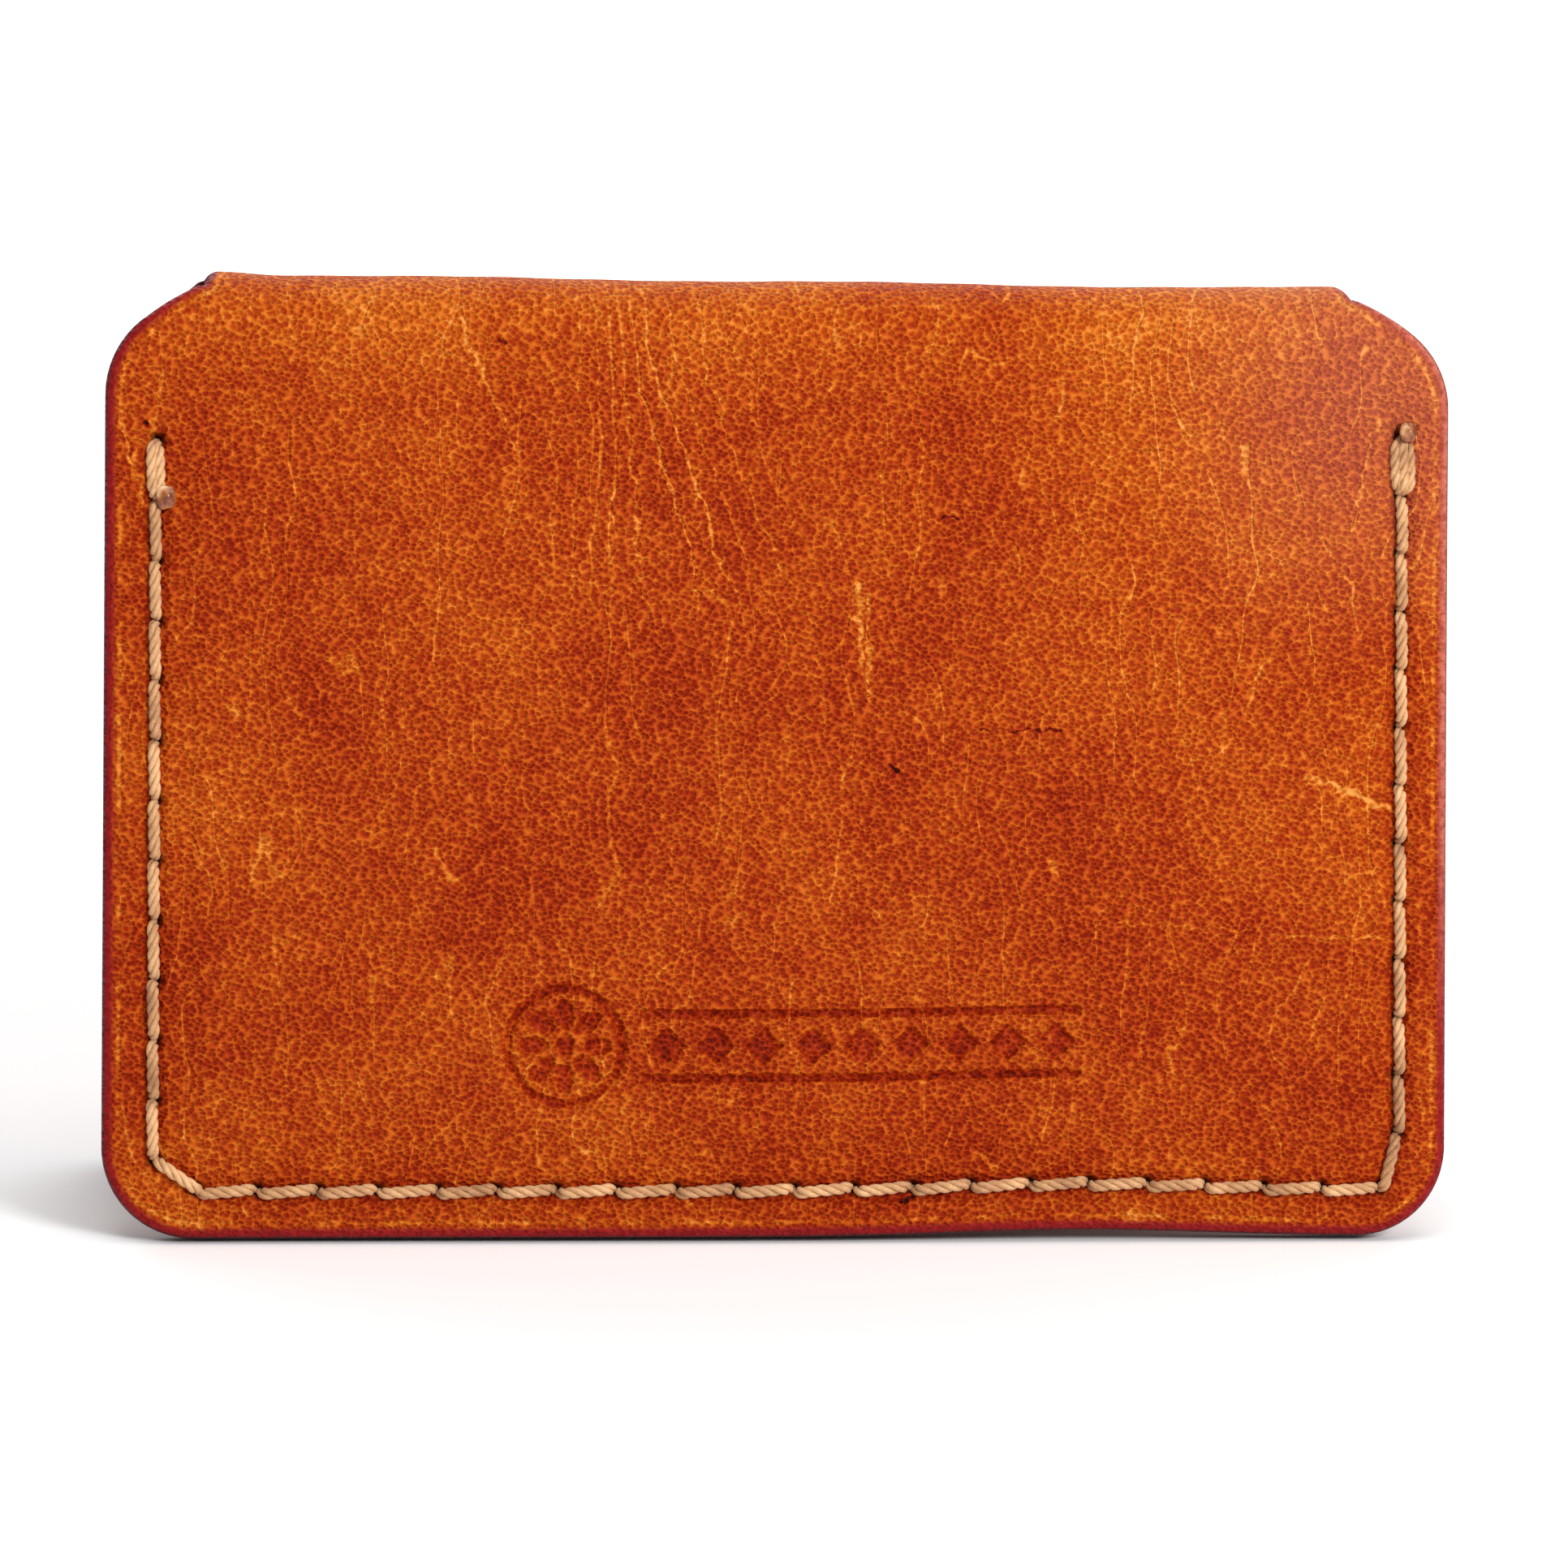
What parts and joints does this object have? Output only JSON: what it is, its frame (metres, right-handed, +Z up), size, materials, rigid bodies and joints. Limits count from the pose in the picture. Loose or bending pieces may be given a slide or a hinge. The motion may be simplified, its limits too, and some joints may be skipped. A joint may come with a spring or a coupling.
{
  "type": "card holder",
  "caption": "Folded leather card holder standing as a tent, with a stitched card pocket inside each half and a stamped ornament on the rear cover.",
  "frame": {"origin": "middle of the bounding box at the ground, where the two lower edges stand", "axes": "+X along the fold, the stamped rear cover faces -Y, +Z up"},
  "size_m": [0.098, 0.0292, 0.0686],
  "materials": {
    "cover_leather": "orange-brown pull-up leather with a fine pebble grain and burnished edges",
    "pocket_leather": "the same leather, thinner, grain side showing",
    "cement": "thin dried contact cement",
    "thread": "waxed tan three-ply thread, ends melted into beads"
  },
  "bodies": {
    "rear_half": {"cover_rear": "cover_leather", "pocket_rear": "pocket_leather", "cement_rear": "cement", "thread_rear": "thread"},
    "fold_strip_1": {"fold_strip_1": "cover_leather"},
    "fold_strip_2": {"fold_strip_2": "cover_leather"},
    "front_half": {"cover_front": "cover_leather", "pocket_front": "pocket_leather", "cement_front": "cement", "thread_front": "thread"}
  },
  "joints": [
    {"name": "fold_hinge_1", "type": "hinge", "parent": "rear_half", "child": "fold_strip_1", "pos_m": [0, -0.00324, 0.06659], "axis": [1, 0, 0], "range_deg": [-6, 54]},
    {"name": "fold_hinge_2", "type": "hinge", "parent": "fold_strip_1", "child": "fold_strip_2", "pos_m": [0, 0, 0.06824], "axis": [1, 0, 0], "range_deg": [-6, 54]},
    {"name": "fold_hinge_3", "type": "hinge", "parent": "fold_strip_2", "child": "front_half", "pos_m": [0, 0.00324, 0.06659], "axis": [1, 0, 0], "range_deg": [-6, 54]}
  ],
  "couplings": [
    {"joint": "fold_hinge_2", "follows": "fold_hinge_1", "ratio": 1},
    {"joint": "fold_hinge_3", "follows": "fold_hinge_1", "ratio": 1}
  ]
}
